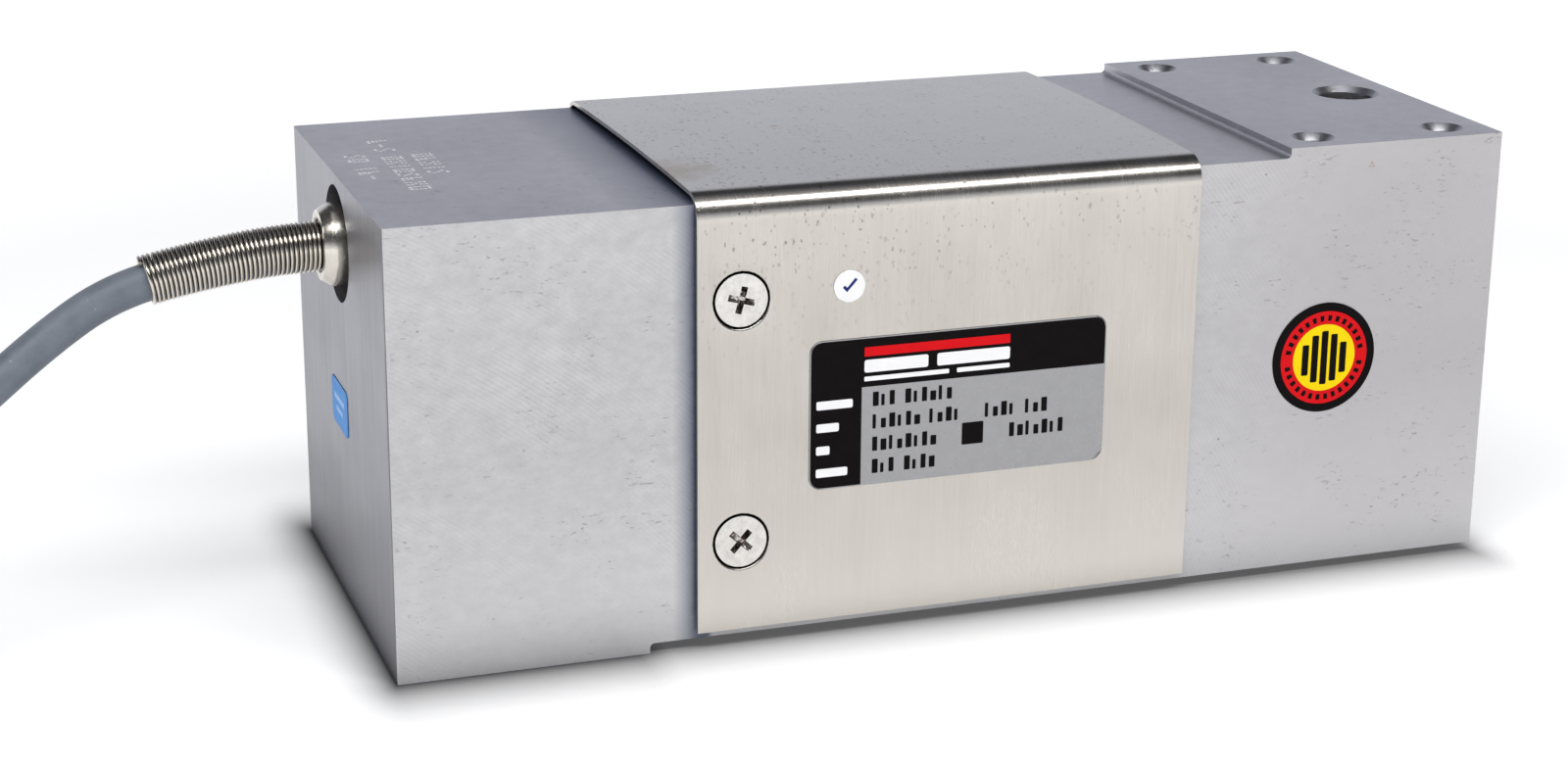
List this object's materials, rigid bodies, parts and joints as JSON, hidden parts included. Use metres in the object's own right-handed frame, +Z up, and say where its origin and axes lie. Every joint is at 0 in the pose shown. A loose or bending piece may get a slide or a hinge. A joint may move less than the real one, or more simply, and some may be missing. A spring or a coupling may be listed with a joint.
{
  "type": "single point load cell",
  "caption": "Off-centre load cell: a milled aluminium beam with raised mounting pads, a folded steel cover over its gauges, and a spring-protected cable put away in a coil.",
  "frame": {"origin": "under the middle of the beam, level with the face of the fixed-end pad", "axes": "+X along the beam towards the live end, +Y towards the back, +Z up"},
  "size_m": [0.4083, 0.1042, 0.0793],
  "materials": {
    "beam": "milled",
    "cover": "fine grain",
    "screws": "machined",
    "rating_label": "printed film",
    "dot_label": "printed film",
    "round_label": "printed film",
    "end_label": "printed film",
    "gauge_foil": "etched foil on film",
    "terminals": "tinned",
    "gauge_wires": "enamel",
    "coating": "soft silicone",
    "board": "solder mask",
    "spacers": "moulded",
    "pins": "plated",
    "resistors": "glazed",
    "cores": "extruded",
    "potting": "cast epoxy",
    "gland_rubber": "moulded",
    "plated": "nickel plate",
    "spring": "drawn wire",
    "tie": "moulded nylon",
    "cable": "extruded jacket",
    "sleeve": "shrunk film",
    "tinned": "tinned strands",
    "lead_red": "extruded",
    "lead_black": "extruded",
    "lead_green": "extruded",
    "lead_white": "extruded",
    "lead_blue": "extruded",
    "lead_brown": "extruded"
  },
  "bodies": {
    "root": {"beam_body": "beam", "wrap_cover": "cover", "cover_screws": "screws", "rating_label": "rating_label", "dot_label": "dot_label", "round_label": "round_label", "end_label": "end_label", "strain_gauge_fixed_front": "gauge_foil", "strain_gauge_fixed_rear": "gauge_foil", "strain_gauge_live_front": "gauge_foil", "strain_gauge_live_rear": "gauge_foil", "gauge_terminals": "terminals", "gauge_wires": "gauge_wires", "gauge_coating_fixed": "coating", "gauge_coating_live": "coating", "compensation_board": "board", "board_spacers": "spacers", "board_screws": "screws", "board_pins": "pins", "trim_resistors": "resistors", "cable_cores": "cores", "channel_potting": "potting", "gland_gasket": "gland_rubber", "gland_body": "plated", "gland_seal": "gland_rubber", "gland_nut": "plated", "bend_protector_spring": "spring", "cable_tie": "tie", "cable_coil": "cable", "cable_lead": "cable", "cable_tail": "cable", "end_sleeve": "sleeve", "lead_tips": "tinned", "lead_red": "lead_red", "lead_black": "lead_black", "lead_green": "lead_green", "lead_white": "lead_white", "lead_blue": "lead_blue", "lead_brown": "lead_brown"}
  },
  "joints": []
}
